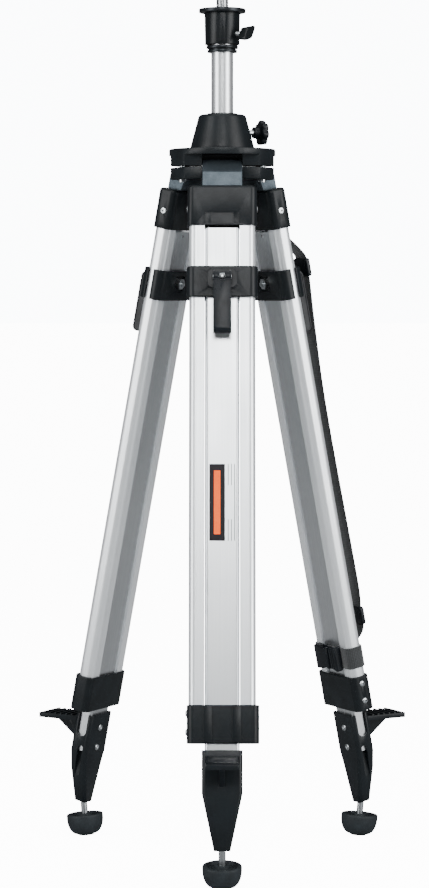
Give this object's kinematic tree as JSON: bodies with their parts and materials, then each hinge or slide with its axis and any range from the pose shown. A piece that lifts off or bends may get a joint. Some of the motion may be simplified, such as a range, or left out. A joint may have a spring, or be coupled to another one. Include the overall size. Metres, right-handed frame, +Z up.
{
  "type": "elevating laser tripod",
  "caption": "Aluminium elevating tripod for a construction laser: sliding legs with cam clamps, crank-free centre column, survey stud, treads and rubber feet.",
  "frame": {"origin": "on the floor, under the middle of the bounding box; the column axis stands 57.5 mm behind it", "axes": "+Z up along the column; -Y towards the single front leg; +X towards the leg that carries the strap"},
  "size_m": [0.4868, 0.4225, 1.1],
  "materials": {
    "black_coated_casting": "fine-textured black powder coat on cast aluminium",
    "black_plastic": "moulded glass-filled nylon, fine spark texture",
    "black_zinc_casting": "black lacquered zinc die casting",
    "satin_aluminium": "extruded, satin anodised",
    "cast_aluminium": "bead-blasted casting, grey",
    "black_anodised_aluminium": "turned, black anodised",
    "steel": "bright zinc plated",
    "black_rubber": "moulded rubber, matt",
    "black_webbing": "woven polypropylene webbing"
  },
  "bodies": {
    "head": {"head_plate": "black_coated_casting", "lug_caps": "black_coated_casting", "hinge_pins": "steel", "lug_bolts": "steel", "column_guide": "black_coated_casting", "column_bush": "black_plastic"},
    "column": {"column_tube": "satin_aluminium", "column_plug": "black_plastic", "column_collar": "black_anodised_aluminium"},
    "cup": {"cup": "black_coated_casting", "instrument_stud": "black_anodised_aluminium"},
    "wing_screw": {"wing_screw": "black_zinc_casting"},
    "knob": {"knob_grip": "black_plastic", "knob_screw": "steel"},
    "front_leg": {"front_hinge_tongue": "cast_aluminium", "front_top_cap": "black_plastic", "front_rails": "satin_aluminium", "front_leg_screws": "steel", "front_lower_collar": "black_plastic"},
    "front_slide": {"front_sliding_blade": "satin_aluminium", "front_clamp_outer_shell": "black_plastic", "front_clamp_inner_shell": "black_plastic", "front_clamp_bolt": "steel", "front_foot": "black_coated_casting", "front_foot_rivets": "steel", "front_foot_rod": "steel"},
    "front_lever": {"front_clamp_lever": "black_plastic"},
    "front_pad": {"front_rubber_pad": "black_rubber"},
    "right_leg": {"right_hinge_tongue": "cast_aluminium", "right_top_cap": "black_plastic", "right_rails": "satin_aluminium", "right_leg_screws": "steel", "right_lower_collar": "black_plastic", "right_shoulder_strap": "black_webbing", "right_strap_sliders": "black_plastic", "right_binding_strap": "black_webbing", "right_strap_buckle": "black_plastic"},
    "right_slide": {"right_sliding_blade": "satin_aluminium", "right_clamp_outer_shell": "black_plastic", "right_clamp_inner_shell": "black_plastic", "right_clamp_bolt": "steel", "right_foot": "black_coated_casting", "right_foot_rivets": "steel", "right_foot_rod": "steel"},
    "right_lever": {"right_clamp_lever": "black_plastic"},
    "right_pad": {"right_rubber_pad": "black_rubber"},
    "left_leg": {"left_hinge_tongue": "cast_aluminium", "left_top_cap": "black_plastic", "left_rails": "satin_aluminium", "left_leg_screws": "steel", "left_lower_collar": "black_plastic"},
    "left_slide": {"left_sliding_blade": "satin_aluminium", "left_clamp_outer_shell": "black_plastic", "left_clamp_inner_shell": "black_plastic", "left_clamp_bolt": "steel", "left_foot": "black_coated_casting", "left_foot_rivets": "steel", "left_foot_rod": "steel"},
    "left_lever": {"left_clamp_lever": "black_plastic"},
    "left_pad": {"left_rubber_pad": "black_rubber"}
  },
  "joints": [
    {"name": "column_lift", "type": "slide", "parent": "head", "child": "column", "axis": [0, 0, 1], "range_m": [-0.075, 0.355]},
    {"name": "cup_swivel", "type": "hinge", "parent": "column", "child": "cup", "pos_m": [0, 0.05746, 1.073], "axis": [0, 0, 1], "continuous": true},
    {"name": "wing_screw_turn", "type": "hinge", "parent": "cup", "child": "wing_screw", "pos_m": [0.02589, 0.03934, 1.0458], "axis": [0.8192, -0.5736, 0], "range_deg": [0, 270]},
    {"name": "knob_turn", "type": "hinge", "parent": "head", "child": "knob", "pos_m": [0.03931, 0.07335, 0.923], "axis": [0.9272, 0.3746, 0], "range_deg": [0, 270]},
    {"name": "front_leg_fold", "type": "hinge", "parent": "head", "child": "front_leg", "pos_m": [0, 0.02246, 0.878], "axis": [-1, 0, 0], "range_deg": [-11, 18]},
    {"name": "front_leg_extend", "type": "slide", "parent": "front_leg", "child": "front_slide", "axis": [0, -0.1994, -0.9799], "range_m": [0, 0.48]},
    {"name": "front_lever_turn", "type": "hinge", "parent": "front_slide", "child": "front_lever", "pos_m": [0, -0.04913, 0.7398], "axis": [-1, 0, 0], "range_deg": [0, 100]},
    {"name": "front_pad_screw", "type": "slide", "parent": "front_slide", "child": "front_pad", "axis": [0, -0.0872, 0.9962], "range_m": [0, 0.009]},
    {"name": "right_leg_fold", "type": "hinge", "parent": "head", "child": "right_leg", "pos_m": [0.03031, 0.07496, 0.878], "axis": [0.5, -0.866, 0], "range_deg": [-11, 18]},
    {"name": "right_leg_extend", "type": "slide", "parent": "right_leg", "child": "right_slide", "axis": [0.1727, 0.0997, -0.9799], "range_m": [0, 0.37]},
    {"name": "right_lever_turn", "type": "hinge", "parent": "right_slide", "child": "right_lever", "pos_m": [0.09231, 0.11076, 0.7398], "axis": [0.5, -0.866, 0], "range_deg": [0, 100], "deforming": ["right_shoulder_strap", "right_strap_sliders"]},
    {"name": "right_pad_screw", "type": "slide", "parent": "right_slide", "child": "right_pad", "axis": [0.0755, 0.0436, 0.9962], "range_m": [0, 0.009]},
    {"name": "left_leg_fold", "type": "hinge", "parent": "head", "child": "left_leg", "pos_m": [-0.03031, 0.07496, 0.878], "axis": [0.5, 0.866, 0], "range_deg": [-11, 18]},
    {"name": "left_leg_extend", "type": "slide", "parent": "left_leg", "child": "left_slide", "axis": [-0.1727, 0.0997, -0.9799], "range_m": [0, 0.48]},
    {"name": "left_lever_turn", "type": "hinge", "parent": "left_slide", "child": "left_lever", "pos_m": [-0.09231, 0.11076, 0.7398], "axis": [0.5, 0.866, 0], "range_deg": [0, 100]},
    {"name": "left_pad_screw", "type": "slide", "parent": "left_slide", "child": "left_pad", "axis": [-0.0755, 0.0436, 0.9962], "range_m": [0, 0.009]}
  ]
}
